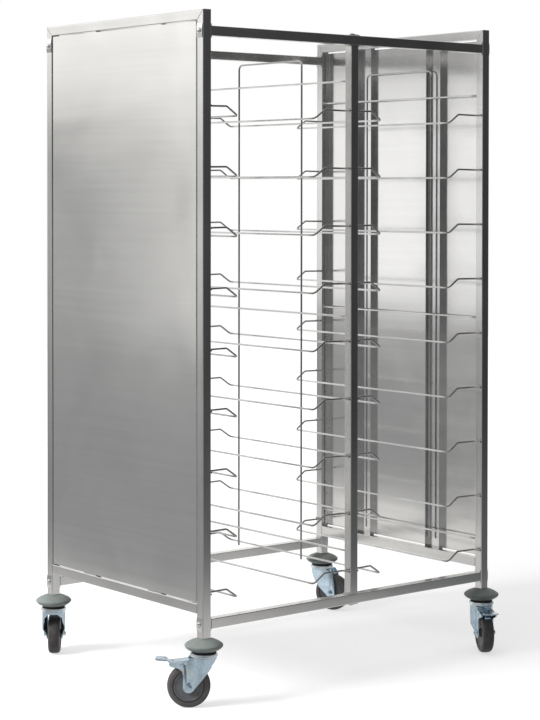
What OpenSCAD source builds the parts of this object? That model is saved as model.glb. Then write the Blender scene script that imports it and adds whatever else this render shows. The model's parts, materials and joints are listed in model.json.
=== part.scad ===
// Enclosed meal tray cart, in millimetres.
// X runs left to right, Y front to rear, Z up. The origin is on the floor under the
// middle of the frame. Two closed end frames are bolted together by four rails, a pair of
// middle posts splits the cart into two open bays, and bent wires carry the trays.

/* [Frame] */
// Overall width of the tube frame
cart_w = 990; // [800:5:1200]
// Overall depth of the tube frame
cart_d = 700; // [600:5:900]
// Length of a corner post
post_len = 1540; // [1420:5:1800]
// Width of the square tube
tube = 25; // [22:0.5:32]
// Wall of the square tube
tube_wall = 1.5; // [1:0.1:2.5]
// Outer corner radius of the square tube
tube_corner = 2; // [1:0.1:3]
// Height of the long bottom rails above the post ends
low_rail_z = 21.5; // [19:0.5:30]
// Distance from the post tops down to the long top rails
top_rail_drop = 39; // [34:0.5:60]
// Height of the end frames' bottom rails above the post ends
end_rail_z = 58; // [50:0.5:80]

/* [Frame joints] */
// Diameter of the frame bolts
bolt_d = 8; // [6:0.5:10]
// Diameter of a domed bolt head
bolt_head_d = 14; // [12:0.5:18]
// Height of a domed bolt head
bolt_head_h = 4.5; // [3:0.5:7]
// Radial clearance of a bolt in its hole
bolt_clear = 0.2; // [0.1:0.05:0.5]
// Length of a bolt past the tube that it crosses
bolt_grip = 22; // [14:1:30]
// Length of a threaded plug in a tube end
plug_len = 30; // [20:1:45]
// Length of a saddle plate
saddle_len = 35; // [30:0.5:45]
// Thickness of a saddle plate at its middle
saddle_t = 2.6; // [2:0.1:4]
// Thickness of a saddle plate at its two ends
saddle_edge_t = 1.2; // [0.8:0.1:2]

/* [Side panels] */
// Thickness of the panel sheet
sheet = 1.2; // [0.8:0.1:2]
// Set-back of a panel from the outer face of the tubes
panel_inset = 0.8; // [0:0.1:3]
// Shadow gap between a panel and the tubes round it
panel_gap = 3; // [1.5:0.5:6]
// Depth of the folded edges of a panel
panel_fold = 12; // [8:0.5:18]
// Width of a stiffening channel
channel_w = 58; // [46:1:76]
// Depth of a stiffening channel
channel_depth = 15; // [10:0.5:16]
// Distance of a stiffening channel from the middle of the panel
channel_y = 145; // [130:1:200]

/* [Rack wires] */
// Diameter of the wires
wire_d = 5; // [4:0.1:7]
// Number of tray levels
levels = 9; // [4:1:9]
// Height of the lowest level above the post ends
level_first = 106; // [100:0.5:130]
// Distance between levels
level_pitch = 150; // [110:1:150]
// Reach of a runner's raised end from the post
hump_reach = 68; // [50:1:85]
// Rise of a runner's raised end on its way from the post
hump_rise = 1; // [0:0.5:8]
// Reach of a runner's long stretch from the post
run_reach = 103; // [98:1:140]
// Drop of a runner's long stretch below its weld
run_drop = 22.5; // [10:0.5:24]
// Bend radius of a runner
runner_bend = 8; // [5.5:0.5:10]
// Swelling of a runner at the sharp bend of its raised end
knuckle = 0.15; // [0.12:0.01:0.3]
// Bend radius where a runner leaves its post
heel_bend = 6; // [4:0.5:7]
// Distance of a hoop's uprights from the middle of the cart
hoop_y = 135; // [128:1:150]
// Height of the hoops' top wires above the post ends
hoop_top = 1446; // [1400:1:1460]
// Bend radius of a hoop's corners
hoop_bend = 14; // [8:1:25]
// Height of the lowest cross wire of the middle rack above the post ends
cross_first = 157; // [140:1:180]
// Distance between cross wires
cross_pitch = 613; // [550:1:620]
// Distance by which the side racks' cross wires lie lower than the middle rack's
side_cross_drop = 22; // [0:1:35]
// Distance by which the side racks' hoops end lower than the middle rack's
side_hoop_drop = 8; // [0:1:20]
// Play of a side hoop in the notches of the channels
notch_clear = 0.5; // [0.3:0.1:2]

/* [Casters] */
// Diameter of a wheel
wheel_d = 107; // [80:1:110]
// Width of a tyre
tyre_w = 32; // [24:1:34]
// Diameter of a wheel's hub
hub_d = 76; // [60:1:78]
// Width of a hub at its bearing
hub_w = 36.8; // [35:0.1:38]
// Width of a hub at its rim
hub_rim_w = 29; // [20:0.5:30]
// Distance from a swivel axis to its wheel's axle
trail = 37; // [25:1:38]
// Height of a caster from its axle to the end of the post
axle_drop = 117; // [114:0.5:130]
// Diameter of a bumper disc
bumper_d = 95.4; // [70:0.2:110]
// Height of a bumper disc
bumper_h = 31; // [24:0.5:34]
// Height from a bumper's underside to its widest ring
bumper_low_h = 13; // [9:0.5:14]
// Rounding of a bumper's rim
bumper_rim_r = 4; // [2:0.5:5]
// Diameter of a bumper's flat top and of its dust seal
seal_d = 61; // [50:1:62]
// Height of a dust seal
seal_h = 5; // [3:0.5:6]
// Diameter of a swivel head
head_d = 68; // [64:1:72]
// Height of a swivel head
head_h = 10; // [9:0.5:12]
// Diameter of the balls in a swivel head
ball_d = 6; // [4:0.5:7]
// Number of balls in a swivel head
balls = 12; // [6:1:14]
// Diameter of the circle on which the balls run
ball_circle = 42; // [36:1:46]
// Gap between a swivel head and its fork
head_gap = 1.5; // [0.5:0.1:2]
// Thickness of a fork's sheet
fork_t = 3; // [2:0.25:4]
// Clear width between a fork's legs
fork_gap = 37; // [35.2:0.1:40]
// Radius of a fork leg round its axle
fork_end_r = 14.5; // [10:0.5:17]
// Distance from the swivel axis to the bend where the legs draw together
fork_bend_x = 5; // [2:0.5:8]
// Half width of the arch in the front of a fork
arch_half = 24; // [22:0.5:26]
// Diameter of a caster's threaded stem
stem_d = 12; // [8:0.5:14]
// Diameter of a wheel's axle bolt
axle_d = 8; // [6:0.5:10]
// Outer diameter of the sleeve that a wheel turns on
sleeve_d = 12; // [11:0.5:16]
// Radial clearance of the turning parts
run_clear = 0.05; // [0.02:0.01:0.09]
// Angles of the trailing directions: front left, front right, rear left, rear right
swivel_angles = [142, 239, 53, 294];

/* [Brake pedals] */
// Distance from the swivel axis to the pedal's pivot
pivot_x = 45.5; // [38:0.5:48]
// Height of the pedal's pivot above the axle
pivot_z = 58; // [57:0.5:58]
// Diameter of the pedal's pivot pin
pivot_d = 5; // [4:0.5:6]
// Reach of the pedal's toe from the swivel axis
pedal_reach = 119; // [110:1:125]
// Fall of the pedal's plate from its root to its knee
pedal_fall = 6.8; // [4:0.2:8]
// Rise of the pedal's toe above its knee
pedal_rise = 7; // [4:0.5:9]
// Width of the pedal's toe
pedal_toe_w = 41; // [38:1:50]
// Thickness of the pedal
pedal_t = 2.5; // [1.5:0.25:3]
// Gap between the shoe and the tyre while the brake is off
shoe_gap = 2.8; // [2:0.1:3]

/* [Hidden] */

$fn = 48;
steel = [0.72, 0.72, 0.7];
bright_steel = [0.8, 0.8, 0.79];
zinc = [0.66, 0.71, 0.74];
grey_rubber = [0.4, 0.44, 0.42];
black_rubber = [0.08, 0.08, 0.09];
tyre_grey = [0.2, 0.2, 0.21];
hub_grey = [0.35, 0.36, 0.38];

// Heights above the floor
axle_z = wheel_d / 2;
post_z = axle_z + axle_drop;
top_z = post_z + post_len;
low_rail_bottom = post_z + low_rail_z;
top_rail_bottom = top_z - top_rail_drop - tube;
end_low_bottom = post_z + end_rail_z;
end_top_bottom = top_z - tube;
run_first = post_z + level_first;

// Half sizes, and the middle lines of the tubes
half_w = cart_w / 2;
half_d = cart_d / 2;
post_x = half_w - tube / 2;
post_y = half_d - tube / 2;
inner_x = half_w - tube;
inner_y = half_d - tube;
tube_bore = tube - 2 * tube_wall;
bolt_r = bolt_d / 2;
hole_r = bolt_r + bolt_clear;
plug_clear = 0.2;
plug_w = tube_bore - 2 * plug_clear;
rail_len = 2 * (inner_x - saddle_t);
end_rail_len = 2 * inner_y;
middle_post_bottom = low_rail_bottom + tube + saddle_t;
middle_post_len = top_rail_bottom - saddle_t - middle_post_bottom;
cut = 1;

// Panels and racks
panel_x = half_w - panel_inset;
panel_back_x = panel_x - sheet;
panel_half = inner_y - panel_gap;
panel_z = end_low_bottom + tube + panel_gap;
panel_h = end_top_bottom - panel_gap - panel_z;
channel_z = end_low_bottom + tube;
channel_h = end_top_bottom - channel_z;
wire_r = wire_d / 2;
side_cross_x = panel_back_x - channel_depth - wire_r;
side_hoop_x = side_cross_x + wire_d;
side_hoop_z = post_z + hoop_top - side_hoop_drop;
side_cross_z = post_z + cross_first - side_cross_drop;
middle_cross_x = -wire_d;
hoop_low = run_first;
heel_y = inner_y - wire_r / 2;
heel_end_y = half_d - 2;

// Caster heights, above the axle
bumper_z = axle_drop - bumper_h;
seal_z = bumper_z - seal_h;
head_z = seal_z - head_h;
ball_z = head_z - 0.5 + head_h / 2;
race_r = ball_d / 2 + run_clear;
head_wall = 2;
head_plate_z = ball_z + ball_d / 3;
crown_top = ball_z - ball_d / 3;
crown_bottom = head_z - fork_t;
stem_r = stem_d / 2;
stem_head_r = stem_d * 0.9;
stem_head_h = 6;
leg_in = fork_gap / 2;
leg_out = leg_in + fork_t;
fork_r = head_d / 2 - head_wall - 0.5;
leg_bend_r = fork_r - 0.4;
wheel_r = wheel_d / 2;
pedal_top = crown_bottom - 1.8;
pedal_root = pivot_x - 20.5;
pedal_knee = pedal_reach - 36;
pedal_half = leg_in - 0.8;

// Placement of the casters: front left, front right, rear left, rear right
function caster_x(i) = (i % 2 == 0 ? -1 : 1) * post_x;
function caster_y(i) = (i < 2 ? -1 : 1) * post_y;

// ---- shared shapes ----

// A square with round corners, centred
module rounded_square(side, r) {
    square([side, side - 2 * r], center = true);
    square([side - 2 * r, side], center = true);
    for (x = [-1, 1], y = [-1, 1])
        translate([x * (side / 2 - r), y * (side / 2 - r)]) circle(r);
}

// Square tube standing on z = 0
module square_tube(length) {
    linear_extrude(length) difference() {
        rounded_square(tube, tube_corner);
        rounded_square(tube_bore, max(tube_corner - tube_wall, 0.3));
    }
}

// A cylinder from one point to another
module rod(a, b, r) {
    d = b - a;
    length = norm(d);
    translate(a) rotate([0, acos(d[2] / length), atan2(d[1], d[0])])
        cylinder(h = length, r = r);
}

function unit(v) = v / norm(v);
function heading(p, i) = unit(p[i + 1] - p[i]);
function turn(p, i) = acos(min(1, max(-1, heading(p, i - 1) * heading(p, i))));
function inside(p, i) = i > 0 && i < len(p) - 1;
function trim(p, r, i) = inside(p, i) ? r[i] * tan(turn(p, i) / 2) : 0;

// A bent wire along the points p, with the bend radius r[i] at point i
module bent_wire(p, r) {
    for (i = [0:len(p) - 2])
        rod(p[i] + heading(p, i) * trim(p, r, i),
            p[i + 1] - heading(p, i) * trim(p, r, i + 1), wire_r);
    for (i = [1:len(p) - 2]) {
        u = heading(p, i - 1);
        v = heading(p, i);
        n = unit(v - u * (u * v));
        w = cross(-n, u);
        c = p[i] - u * trim(p, r, i) + n * r[i];
        multmatrix([
            [-n[0], u[0], w[0], c[0]],
            [-n[1], u[1], w[1], c[1]],
            [-n[2], u[2], w[2], c[2]],
            [0, 0, 0, 1]
        ]) rotate_extrude(angle = turn(p, i)) translate([r[i], 0]) circle(wire_r);
    }
}

// ---- tube frame ----

// Corner post at the sides sx and sy, mitred at its top, drilled for the two rails
module corner_post(sx, sy) {
    color(steel) translate([sx * post_x, sy * post_y, post_z]) difference() {
        square_tube(post_len);
        translate([0, sy * tube / 2, post_len]) rotate([sy * 45, 0, 0])
            translate([0, 0, tube]) cube([2 * tube, 4 * tube, 2 * tube], center = true);
        for (z = [low_rail_z, post_len - top_rail_drop - tube])
            translate([0, 0, z + tube / 2]) rotate([0, 90, 0])
                cylinder(h = tube + 2 * cut, r = hole_r, center = true);
    }
}

// Middle post at the side sy, between the long rails
module middle_post(sy) {
    color(steel) translate([0, sy * post_y, middle_post_bottom]) square_tube(middle_post_len);
}

// Top rail of the end frame at the side sx, mitred to its posts
module end_top_rail(sx) {
    color(steel) translate([sx * post_x, 0, end_top_bottom + tube / 2]) difference() {
        rotate([90, 0, 0]) translate([0, 0, -half_d]) square_tube(cart_d);
        for (sy = [-1, 1]) translate([0, sy * half_d, tube / 2]) rotate([sy * 45, 0, 0])
            translate([0, 0, -tube]) cube([2 * tube, 4 * tube, 2 * tube], center = true);
    }
}

// Bottom rail of the end frame at the side sx, between its posts
module end_bottom_rail(sx) {
    color(steel) translate([sx * post_x, inner_y, end_low_bottom + tube / 2])
        rotate([90, 0, 0]) square_tube(end_rail_len);
}

// Long rail at the side sy with its underside at z, drilled for the middle post's bolt
module long_rail(sy, z) {
    color(steel) translate([0, sy * post_y, z + tube / 2]) difference() {
        translate([-rail_len / 2, 0, 0]) rotate([0, 90, 0]) square_tube(rail_len);
        cylinder(h = tube + 2 * cut, r = hole_r, center = true);
    }
}

// ---- bolted joints ----

// The places of the eight end joints: [sx, sy, z]
function end_joints() = [for (sx = [-1, 1], sy = [-1, 1],
    z = [low_rail_bottom + tube / 2, top_rail_bottom + tube / 2]) [sx, sy, z]];

// Turns a shape that points along +Z outwards along X at the side sx
module outwards(sx) {
    rotate([0, sx * 90, 0]) children();
}

// Saddle plate standing on z = 0: its long side along X, its outer face falling to both ends
module saddle_plate() {
    end_x = saddle_len / 2;
    flat_x = bolt_head_d / 2;
    difference() {
        rotate([90, 0, 0]) linear_extrude(tube - 2 * tube_corner, center = true) polygon([
            [-end_x, 0], [end_x, 0], [end_x, saddle_edge_t], [flat_x, saddle_t],
            [-flat_x, saddle_t], [-end_x, saddle_edge_t]
        ]);
        translate([0, 0, -cut]) cylinder(h = saddle_t + 2 * cut, r = hole_r);
    }
}

// Bolt with its head on z = 0 and its shank down to z = -length
module domed_bolt(length) {
    head_r = bolt_head_d / 2;
    dome_r = (head_r * head_r + bolt_head_h * bolt_head_h) / (2 * bolt_head_h);
    translate([0, 0, -length]) cylinder(h = length, r = bolt_r);
    rotate_extrude() intersection() {
        square([head_r, bolt_head_h]);
        translate([0, bolt_head_h - dome_r]) circle(dome_r, $fn = 96);
    }
}

// Threaded plug with its outer end on z = 0, inside a tube end
module tube_plug(bore_r, length) {
    translate([0, 0, -length]) linear_extrude(length) difference() {
        rounded_square(plug_w, 1);
        circle(bore_r);
    }
}

module outer_saddle_plates() {
    color(bright_steel) {
        for (j = end_joints()) translate([j[0] * half_w, j[1] * post_y, j[2]])
            outwards(j[0]) saddle_plate();
        for (sy = [-1, 1]) {
            translate([0, sy * post_y, top_rail_bottom + tube]) saddle_plate();
            translate([0, sy * post_y, low_rail_bottom]) rotate([180, 0, 0]) saddle_plate();
        }
    }
}

module inner_saddle_plates() {
    color(bright_steel) {
        for (j = end_joints()) translate([j[0] * inner_x, j[1] * post_y, j[2]])
            outwards(-j[0]) inner_plate();
        for (sy = [-1, 1]) {
            translate([0, sy * post_y, top_rail_bottom]) rotate([180, 0, 0]) inner_plate();
            translate([0, sy * post_y, low_rail_bottom + tube]) inner_plate();
        }
    }
}

// Flat spacer plate between a rail and a post, standing on z = 0
module inner_plate() {
    difference() {
        translate([0, 0, saddle_t / 2])
            cube([saddle_len, tube - 2 * tube_corner, saddle_t], center = true);
        translate([0, 0, -cut]) cylinder(h = saddle_t + 2 * cut, r = hole_r);
    }
}

module frame_bolts() {
    length = saddle_t + tube + saddle_t + bolt_grip;
    color(bright_steel) {
        for (j = end_joints()) translate([j[0] * (half_w + saddle_t), j[1] * post_y, j[2]])
            outwards(j[0]) domed_bolt(length);
        for (sy = [-1, 1]) {
            translate([0, sy * post_y, top_rail_bottom + tube + saddle_t])
                domed_bolt(length);
            translate([0, sy * post_y, low_rail_bottom - saddle_t])
                rotate([180, 0, 0]) domed_bolt(length);
        }
    }
}

module threaded_plugs() {
    color(zinc) {
        for (j = end_joints())
            translate([j[0] * rail_len / 2, j[1] * post_y, j[2]])
                outwards(j[0]) tube_plug(bolt_r, plug_len);
        for (sy = [-1, 1]) {
            translate([0, sy * post_y, middle_post_bottom + middle_post_len])
                tube_plug(bolt_r, plug_len);
            translate([0, sy * post_y, middle_post_bottom])
                rotate([180, 0, 0]) tube_plug(bolt_r, plug_len);
        }
    }
}

// ---- side panels ----

// Sheet panel at the side sx, folded inwards along its front and rear edges
module side_panel(sx) {
    color(steel) scale_x(sx) translate([0, 0, panel_z]) linear_extrude(panel_h) {
        translate([panel_back_x, -panel_half]) square([sheet, 2 * panel_half]);
        for (y = [-panel_half, panel_half - sheet])
            translate([panel_x - panel_fold, y]) square([panel_fold, sheet]);
    }
}

// Mirrors a shape made for the right side to the side sx
module scale_x(sx) {
    if (sx < 0) mirror([1, 0, 0]) children();
    else children();
}

// Two open channels behind the panel at the side sx, standing between the end rails.
// Their edges have notches for the top wire of the rack's hoop.
module panel_channels(sx) {
    notch = side_hoop_x + wire_r + notch_clear;
    color(steel) scale_x(sx) for (sy = [-1, 1]) difference() {
        translate([panel_back_x - channel_depth, sy * channel_y - channel_w / 2, channel_z])
            linear_extrude(channel_h) difference() {
                square([channel_depth, channel_w]);
                translate([-cut, sheet])
                    square([channel_depth - sheet + cut, channel_w - 2 * sheet]);
            }
        translate([0, -hoop_y, side_hoop_z - wire_r - notch_clear])
            cube([notch, 2 * hoop_y, wire_d + 2 * notch_clear]);
    }
}

// ---- rack wires ----

// Hoop at x up to the height top, spot-welded to the cross wires beside it
module rack_hoop(x, top) {
    color(bright_steel) bent_wire([
        [x, -hoop_y, hoop_low], [x, -hoop_y, top], [x, hoop_y, top], [x, hoop_y, hoop_low]
    ], [0, hoop_bend, hoop_bend, 0]);
}

// Three cross wires of each rack, from the front posts to the rear posts
module rack_cross_wires() {
    color(bright_steel) for (i = [0:2]) {
        for (x = [-side_cross_x, side_cross_x]) cross_wire(x, side_cross_z + i * cross_pitch);
        cross_wire(middle_cross_x, post_z + cross_first + i * cross_pitch);
    }
}

module cross_wire(x, z) {
    rod([x, -inner_y, z], [x, inner_y, z], wire_r);
}

// Tray runner at the height z: spot-welded to the posts' faces at x = 0, reaching towards +X.
// Two legs rise from the posts, and a cradle hangs between their ends.
module tray_runner(z) {
    leg = [hump_reach - wire_r, hump_rise];
    slope = [run_reach - hump_reach, hump_rise + run_drop];
    translate([wire_r, 0, z]) rotate([0, -atan(leg[1] / leg[0]), 0]) for (sy = [-1, 1])
        bent_wire([[0, sy * heel_end_y, 0], [0, sy * heel_y, 0], [norm(leg), sy * heel_y, 0]],
            [0, heel_bend, 0]);
    translate([hump_reach, 0, z + hump_rise]) {
        rotate([0, atan(slope[1] / slope[0]), 0]) bent_wire([
            [0, -heel_y, 0], [norm(slope), -heel_y, 0], [norm(slope), heel_y, 0],
            [0, heel_y, 0]
        ], [0, runner_bend, runner_bend, 0]);
        for (sy = [-1, 1]) translate([0, sy * heel_y, 0]) sphere(wire_r + knuckle);
    }
}

// All runners of one side: on post faces at x, reaching towards the direction sx
module tray_runners(x, sx) {
    color(bright_steel) translate([x, 0, 0]) scale_x(sx)
        for (i = [0:levels - 1]) tray_runner(run_first + i * level_pitch);
}

// ---- casters: fixed pieces, in a frame whose z = 0 is the axle's height ----

module at_casters() {
    for (i = [0:3]) translate([caster_x(i), caster_y(i), axle_z]) children();
}

module caster_plugs() {
    color(zinc) at_casters() translate([0, 0, axle_drop]) rotate([180, 0, 0])
        tube_plug(stem_r, plug_len);
}

// Rubber lens with a round rim, pierced by the stem
module bumper_disc() {
    rim_x = bumper_d / 2 - bumper_rim_r;
    top_h = bumper_h - bumper_low_h;
    top_r = (rim_x * rim_x + top_h * top_h) / (2 * top_h) + 2;
    flat_r = seal_d / 2;
    belly_x = (flat_r + rim_x) / 2 + 1;
    rotate_extrude($fn = 96) difference() {
        union() {
            intersection() {
                translate([0, -bumper_low_h]) square([rim_x, bumper_h]);
                translate([0, top_h - top_r]) circle(top_r, $fn = 180);
                polygon([[0, -bumper_low_h], [flat_r, -bumper_low_h],
                    [belly_x, -bumper_low_h * 0.7], [rim_x, -bumper_rim_r * 0.9],
                    [rim_x, top_h], [0, top_h]]);
            }
            translate([rim_x, 0]) circle(bumper_rim_r);
        }
        translate([-cut, -bumper_low_h - cut]) square([cut + stem_r, bumper_h + 2 * cut]);
    }
}

module caster_bumpers() {
    color(grey_rubber) at_casters() translate([0, 0, bumper_z + bumper_low_h]) bumper_disc();
}

module caster_seals() {
    color(black_rubber) at_casters() translate([0, 0, seal_z]) difference() {
        cylinder(h = seal_h, r = seal_d / 2);
        translate([0, 0, -cut]) cylinder(h = seal_h + 2 * cut, r = stem_r);
    }
}

// Stem with its round head under the fork's crown
module caster_stems() {
    head_top = crown_bottom - run_clear;
    color(zinc) at_casters() {
        translate([0, 0, head_top]) cylinder(h = axle_drop + plug_len - head_top, r = stem_r);
        translate([0, 0, head_top - stem_head_h]) cylinder(h = stem_head_h, r = stem_head_r);
    }
}

// Upper bearing cup: a plate with a skirt round the balls
module caster_heads() {
    color(zinc) at_casters() rotate_extrude($fn = 96) difference() {
        translate([stem_r, head_z + head_gap])
            square([head_d / 2 - stem_r, seal_z - head_z - head_gap]);
        translate([-cut, head_z - cut])
            square([head_d / 2 - head_wall + cut, head_plate_z - head_z + cut]);
        translate([ball_circle / 2, ball_z]) circle(ball_d / 2);
    }
}

module caster_balls() {
    color(bright_steel) at_casters() for (k = [0:balls - 1])
        rotate([0, 0, k * 360 / balls]) translate([ball_circle / 2, 0, ball_z])
            sphere(ball_d / 2);
}

// ---- casters: turning pieces ----

// Places a caster's turning pieces: the wheel trails along +X, the axle lies along Y
module at_swivel(i) {
    translate([caster_x(i), caster_y(i), axle_z]) rotate([0, 0, swivel_angles[i]]) children();
}

// Side outline of a fork's legs; a braked fork's legs carry the pedal's pivot
module leg_outline(braked) {
    front_x = -head_d / 2 - 1;
    heel_x = trail + fork_end_r;
    translate([trail, 0]) circle(fork_end_r);
    polygon([
        [front_x, head_z], [front_x, head_z - 2],
        [trail - fork_end_r * cos(35), -fork_end_r * sin(35)],
        [trail, 0], [heel_x, 0], [heel_x - 1, 28], [heel_x - 7, crown_bottom - 10],
        [head_d / 2, head_z]
    ]);
    if (braked) polygon([
        [0, 30], [heel_x - 1, 30], [heel_x + 1.5, 39], [heel_x + 9.5, 45],
        [heel_x + 30.5, 51], [heel_x + 34, 55.5], [heel_x + 32.5, pedal_top - pedal_fall],
        [pedal_root - 4, pedal_top], [0, pedal_top]
    ]);
}

// Plan of a fork: round at the front at the radius r, then narrower, at w from the middle
function fork_plan(r, w, end_x) = concat(
    [for (a = [90:15:270]) [r * cos(a), r * sin(a)]],
    [[fork_bend_x, -r], [trail - fork_end_r, -w], [end_x, -w],
        [end_x, w], [trail - fork_end_r, w], [fork_bend_x, r]]);

// The sheet of a fork seen from above, endless towards the rear
module fork_sheet_plan() {
    difference() {
        polygon(fork_plan(leg_bend_r, leg_out, 3 * head_d));
        polygon(fork_plan(leg_bend_r - fork_t, leg_in, 3 * head_d + cut));
    }
}

// Pressed fork: a crown with the lower ball race, a short front edge and two legs
module fork(i) {
    braked = i < 2;
    arch_z = crown_bottom - 3;
    color(zinc) at_swivel(i) difference() {
        union() {
            translate([0, 0, crown_bottom]) {
                cylinder(h = crown_top - crown_bottom, r = fork_r);
                linear_extrude(fork_t) polygon(fork_plan(leg_bend_r, leg_out, head_d / 2 - 2));
            }
            intersection() {
                rotate([90, 0, 0]) linear_extrude(2 * head_d, center = true)
                    leg_outline(braked);
                translate([0, 0, -head_d]) linear_extrude(3 * head_d) fork_sheet_plan();
            }
        }
        translate([-head_d, 0, 0]) rotate([90, 0, 90]) linear_extrude(head_d - 6) polygon([
            [-arch_half, -head_d], [-arch_half, arch_z - 12], [12 - arch_half, arch_z],
            [arch_half - 12, arch_z], [arch_half, arch_z - 12], [arch_half, -head_d]
        ]);
        translate([0, 0, crown_bottom - cut])
            cylinder(h = crown_top - crown_bottom + 2 * cut, r = stem_r + run_clear);
        rotate_extrude($fn = 96) translate([ball_circle / 2, ball_z]) circle(race_r);
        translate([trail, 0, 0]) rotate([90, 0, 0])
            cylinder(h = 2 * leg_out + 2 * cut, r = axle_d / 2, center = true);
        if (braked) translate([pivot_x, 0, pivot_z]) rotate([90, 0, 0])
            cylinder(h = 2 * leg_out + 2 * cut, r = pivot_d / 2, center = true);
    }
}

// Axle bolt with a hexagon head, a nut and a washer under each
module axle(i) {
    head_h = axle_d * 0.75;
    washer = 1.6;
    grip = leg_out + washer;
    color(bright_steel) at_swivel(i) translate([trail, 0, 0]) rotate([90, 0, 0]) {
        translate([0, 0, -leg_out]) cylinder(h = leg_out + grip + head_h + 1.5, r = axle_d / 2);
        translate([0, 0, -grip]) cylinder(h = washer, r = axle_d);
        translate([0, 0, -grip - head_h]) cylinder(h = head_h, r = axle_d * 0.85, $fn = 6);
        translate([0, 0, leg_out]) difference() {
            union() {
                cylinder(h = washer, r = axle_d);
                translate([0, 0, washer]) cylinder(h = head_h, r = axle_d * 0.85, $fn = 6);
            }
            translate([0, 0, -cut]) cylinder(h = washer + head_h + 2 * cut, r = axle_d / 2);
        }
    }
}

// Sleeve clamped between the legs, on which the hub turns
module sleeve(i) {
    color(bright_steel) at_swivel(i) translate([trail, 0, 0]) rotate([90, 0, 0])
        difference() {
            cylinder(h = fork_gap, r = sleeve_d / 2, center = true);
            cylinder(h = fork_gap + 2 * cut, r = axle_d / 2, center = true);
        }
}

// Hub: a bearing boss, a web dished on both faces and a rim
module hub(i) {
    boss_r = sleeve_d / 2 + 5;
    dish_r = hub_d / 2 - 4;
    dish = 2;
    color(hub_grey) at_swivel(i) translate([trail, 0, 0]) rotate([90, 0, 0])
        rotate_extrude($fn = 96) difference() {
            union() {
                translate([0, -hub_rim_w / 2]) square([hub_d / 2, hub_rim_w]);
                translate([0, -hub_w / 2]) square([boss_r, hub_w]);
            }
            for (y = [-hub_rim_w / 2 - cut, hub_rim_w / 2 - dish])
                translate([boss_r + 2, y]) square([dish_r - boss_r - 2, dish + cut]);
            translate([-cut, -hub_w / 2 - cut])
                square([sleeve_d / 2 + run_clear + cut, hub_w + 2 * cut]);
        }
}

// Tyre: a ring with a crowned tread and rounded shoulders
module tyre(i) {
    shoulder = 6;
    crown_r = tyre_w * 1.6;
    color(tyre_grey) at_swivel(i) translate([trail, 0, 0]) rotate([90, 0, 0])
        rotate_extrude($fn = 128) intersection() {
            translate([hub_d / 2, -tyre_w / 2]) square([wheel_r - hub_d / 2, tyre_w]);
            translate([wheel_r - crown_r, 0]) circle(crown_r, $fn = 180);
            union() {
                translate([0, -tyre_w / 2]) square([wheel_r - shoulder, tyre_w]);
                translate([0, -tyre_w / 2 + shoulder])
                    square([wheel_r, tyre_w - 2 * shoulder]);
                for (y = [-1, 1])
                    translate([wheel_r - shoulder, y * (tyre_w / 2 - shoulder)])
                        circle(shoulder);
            }
        }
}

// Brake pedal: a plate between the legs with a raised toe, two ears on the pivot pin and
// a tongue over the tyre
module brake_pedal(i) {
    ear_r = pivot_d / 2 + 3;
    hook_x = pedal_knee - 9;
    color(zinc) at_swivel(i) difference() {
        union() {
            intersection() {
                rotate([90, 0, 0]) linear_extrude(2 * pedal_toe_w, center = true)
                    pedal_profile();
                translate([0, 0, pivot_z - 10]) linear_extrude(30) pedal_plan();
            }
            for (y = [-pedal_half, pedal_half - pedal_t])
                translate([pivot_x, y + pedal_t, pivot_z]) rotate([90, 0, 0])
                    linear_extrude(pedal_t) {
                        circle(ear_r);
                        translate([-ear_r, 0]) square([2 * ear_r, ear_r - 1]);
                    }
            rotate([90, 0, 0]) linear_extrude(tyre_w / 2, center = true) tongue_profile();
        }
        translate([pivot_x, 0, pivot_z]) rotate([90, 0, 0])
            cylinder(h = fork_gap, r = pivot_d / 2 + run_clear, center = true);
        translate([pivot_x + 12, 0, pivot_z]) cylinder(h = 20, r = 1.8);
        translate([0, 0, pivot_z - 4]) linear_extrude(20)
            polygon([[hook_x, -6], [hook_x + 8, 0], [hook_x, 6]]);
    }
}

// Side view of the pedal's plate, from its root down to its knee and up to its toe
module pedal_profile() {
    knee_z = pedal_top - pedal_fall;
    toe_z = knee_z + pedal_rise;
    polygon([
        [pedal_root, pedal_top], [pedal_knee, knee_z], [pedal_knee + 8, toe_z],
        [pedal_reach, toe_z + 1.7], [pedal_reach, toe_z + 1.7 - pedal_t],
        [pedal_knee + 8, toe_z - pedal_t], [pedal_knee, knee_z - pedal_t],
        [pedal_root, pedal_top - pedal_t]
    ]);
}

// The pedal seen from above: a wide plate, a narrow neck and a toe with round corners
module pedal_plan() {
    toe_r = 9;
    toe_half = pedal_toe_w / 2;
    neck = pedal_half - 4;
    polygon([
        [pedal_root, -pedal_half], [pedal_knee - 4, -pedal_half], [pedal_knee, -neck],
        [pedal_knee + 7, -neck], [pedal_knee + 11, -toe_half],
        [pedal_reach - toe_r, -toe_half], [pedal_reach - toe_r, toe_half],
        [pedal_knee + 11, toe_half], [pedal_knee + 7, neck], [pedal_knee, neck],
        [pedal_knee - 4, pedal_half], [pedal_root, pedal_half]
    ]);
    translate([pedal_reach - 2 * toe_r, toe_r - toe_half])
        square([2 * toe_r, pedal_toe_w - 2 * toe_r]);
    for (sy = [-1, 1]) translate([pedal_reach - toe_r, sy * (toe_half - toe_r)]) circle(toe_r);
}

// Side view of the tongue: a post under the plate and a band that follows the tyre
module tongue_profile() {
    near_r = wheel_r + shoe_gap;
    tongue_x = pivot_x + 7;
    difference() {
        union() {
            intersection() {
                translate([trail, 0]) circle(near_r + pedal_t);
                translate([tongue_x, wheel_r * 0.84]) square([20, 20]);
            }
            translate([tongue_x, wheel_r]) square([pedal_t, pivot_z + 4 - wheel_r]);
        }
        translate([trail, 0]) circle(near_r);
    }
}

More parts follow.
